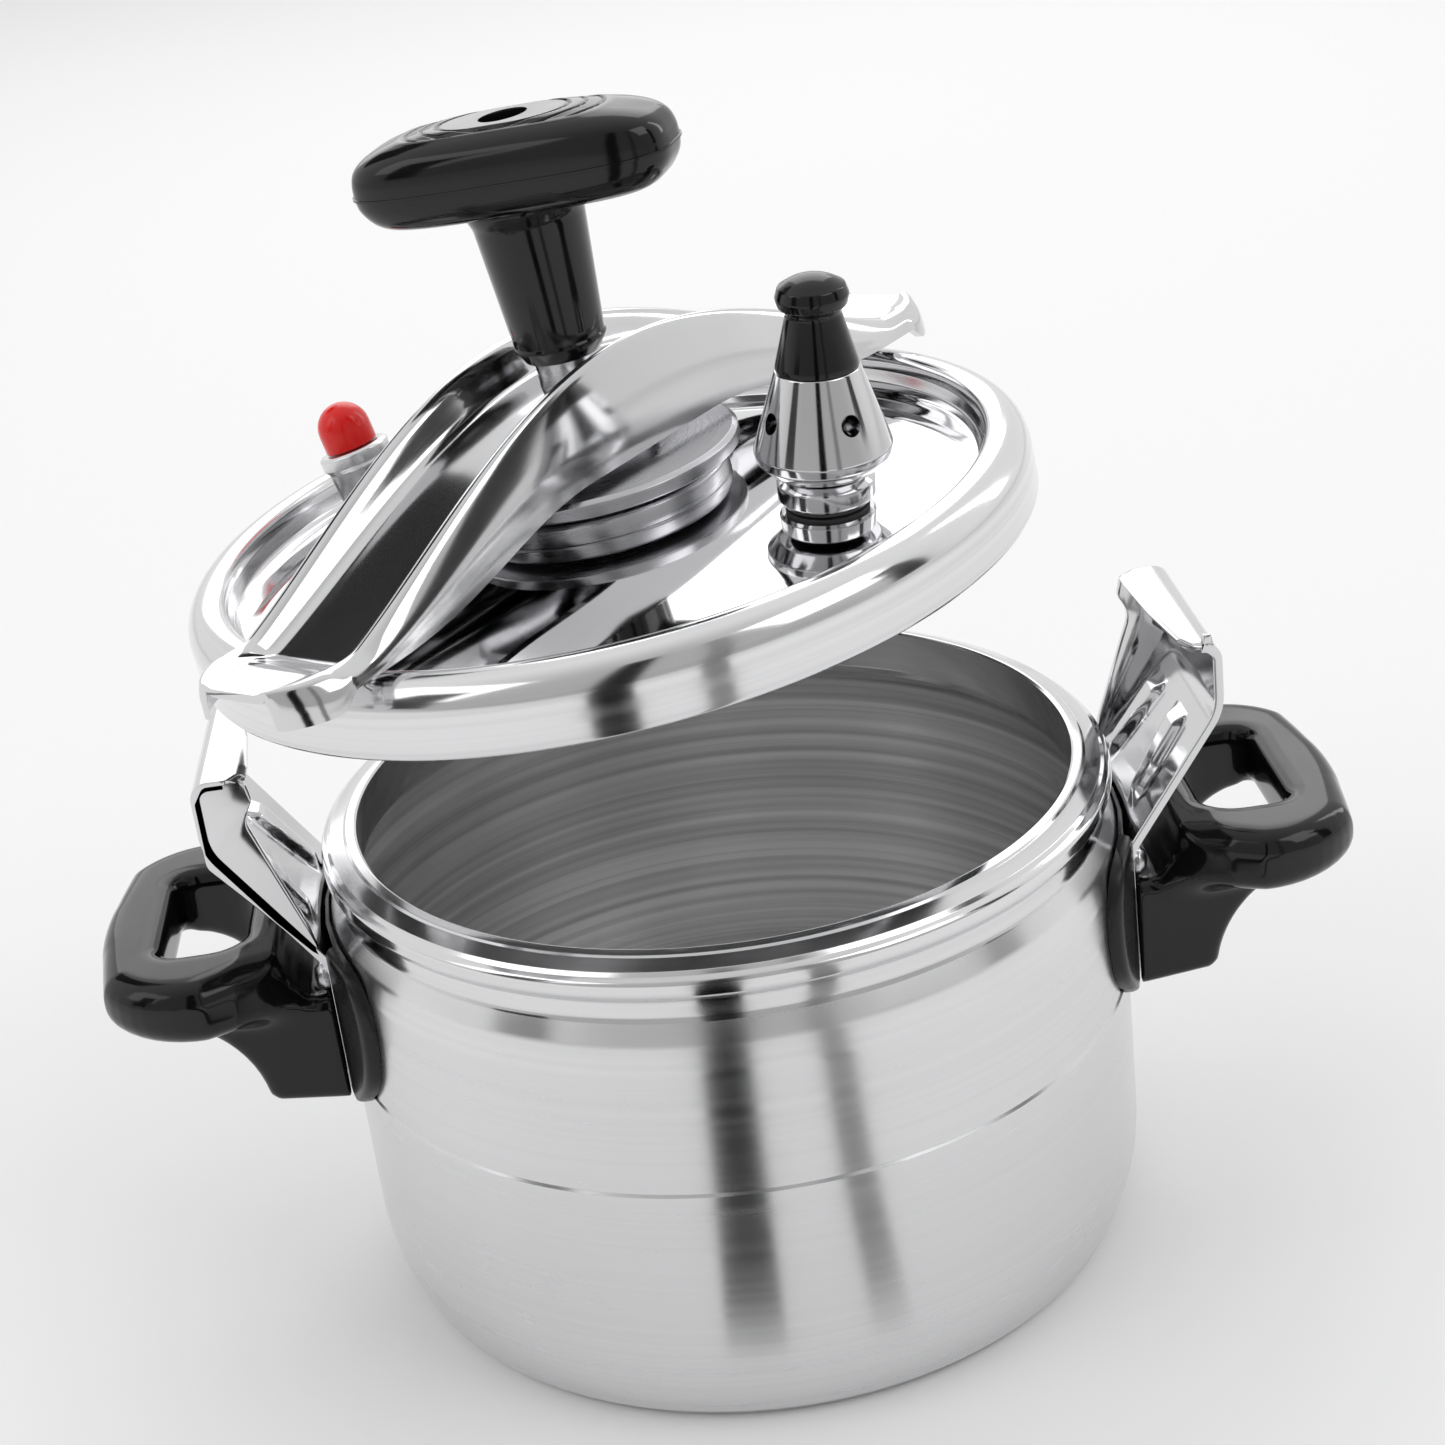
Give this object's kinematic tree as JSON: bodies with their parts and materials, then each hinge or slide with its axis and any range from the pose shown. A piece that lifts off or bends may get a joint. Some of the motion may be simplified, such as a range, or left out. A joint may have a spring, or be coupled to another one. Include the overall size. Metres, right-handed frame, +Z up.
{
  "type": "bridge-clamp pressure canner",
  "caption": "Round aluminium pressure pot with side handles and hooked ears, and a lifted lid with a screw clamp beam, T knob, weighted regulator and float valve.",
  "frame": {"origin": "centre of the pot's flat base, on the surface it stands on", "axes": "+Z up along the pot, +X along the line of the two side handles towards the right handle, +Y to the back"},
  "size_m": [0.313, 0.201, 0.291],
  "materials": {
    "polished_aluminium": "mirror polished spun aluminium",
    "satin_aluminium": "satin polished outside, brushed in rings inside",
    "polished_steel": "polished pressed steel",
    "machined_steel": "turned steel, lightly oiled",
    "cast_metal": "satin cast barrel",
    "black_bakelite": "glossy moulded thermoset",
    "black_backing": "satin moulded backing pad",
    "grey_rubber": "matt moulded seal",
    "red_silicone": "glossy red float"
  },
  "bodies": {
    "pot": {"pot_body": "satin_aluminium", "right_ear": "polished_steel", "left_ear": "polished_steel", "ear_rivets": "machined_steel", "right_handle": "black_bakelite", "left_handle": "black_bakelite", "right_pad": "black_backing", "left_pad": "black_backing", "handle_screws": "machined_steel"},
    "lid_carrier": {"sealing_gasket": "grey_rubber"},
    "lid": {"lid_shell": "polished_aluminium", "lower_disc": "polished_steel", "disc_rivets": "machined_steel", "vent_pipe": "polished_steel", "vent_collar": "polished_steel", "vent_washer": "grey_rubber", "vent_nut": "machined_steel", "vent_filter": "machined_steel", "float_barrel": "cast_metal", "float_washer": "grey_rubber", "float_nut": "machined_steel", "float_spring": "machined_steel"},
    "regulator": {"regulator_weight": "polished_steel", "regulator_cap": "black_bakelite", "regulator_needle": "machined_steel"},
    "float": {"float_cap": "red_silicone"},
    "turning_disc": {"upper_disc": "polished_steel", "retaining_ring": "machined_steel", "spindle_retainer": "machined_steel", "retainer_screws": "machined_steel"},
    "beam": {"clamp_beam": "polished_steel", "beam_boss": "machined_steel"},
    "knob": {"screw_spindle": "machined_steel", "knob_handle": "black_bakelite", "knob_screw": "machined_steel"}
  },
  "joints": [
    {"name": "lid_lift", "type": "hinge", "parent": "pot", "child": "lid_carrier", "pos_m": [-0.60808, 0, 0.00136], "axis": [0, -1, 0], "range_deg": [-6.1, 3]},
    {"name": "lid_turn", "type": "hinge", "parent": "lid_carrier", "child": "lid", "pos_m": [-0.0169, 0, 0.1919], "axis": [-0.1063, 0, 0.9943], "range_deg": [0, 133]},
    {"name": "regulator_lift", "type": "slide", "parent": "lid", "child": "regulator", "axis": [0.0175, -0.0789, 0.9967], "range_m": [0, 0.006]},
    {"name": "float_rise", "type": "slide", "parent": "lid", "child": "float", "axis": [-0.2434, 0.1172, 0.9628], "range_m": [0, 0.003]},
    {"name": "beam_swing", "type": "hinge", "parent": "lid", "child": "turning_disc", "pos_m": [-0.0169, 0, 0.1919], "axis": [-0.1063, 0, 0.9943], "range_deg": [-15, 50]},
    {"name": "beam_rise", "type": "slide", "parent": "turning_disc", "child": "beam", "axis": [-0.1063, 0, 0.9943], "range_m": [-0.0005, 0.0053]},
    {"name": "knob_turn", "type": "hinge", "parent": "turning_disc", "child": "knob", "pos_m": [-0.0169, 0, 0.1919], "axis": [-0.1063, 0, 0.9943], "range_deg": [-477, 0]}
  ],
  "couplings": [
    {"joint": "beam_rise", "follows": "knob_turn", "m_per_rad": -0.00063662}
  ]
}
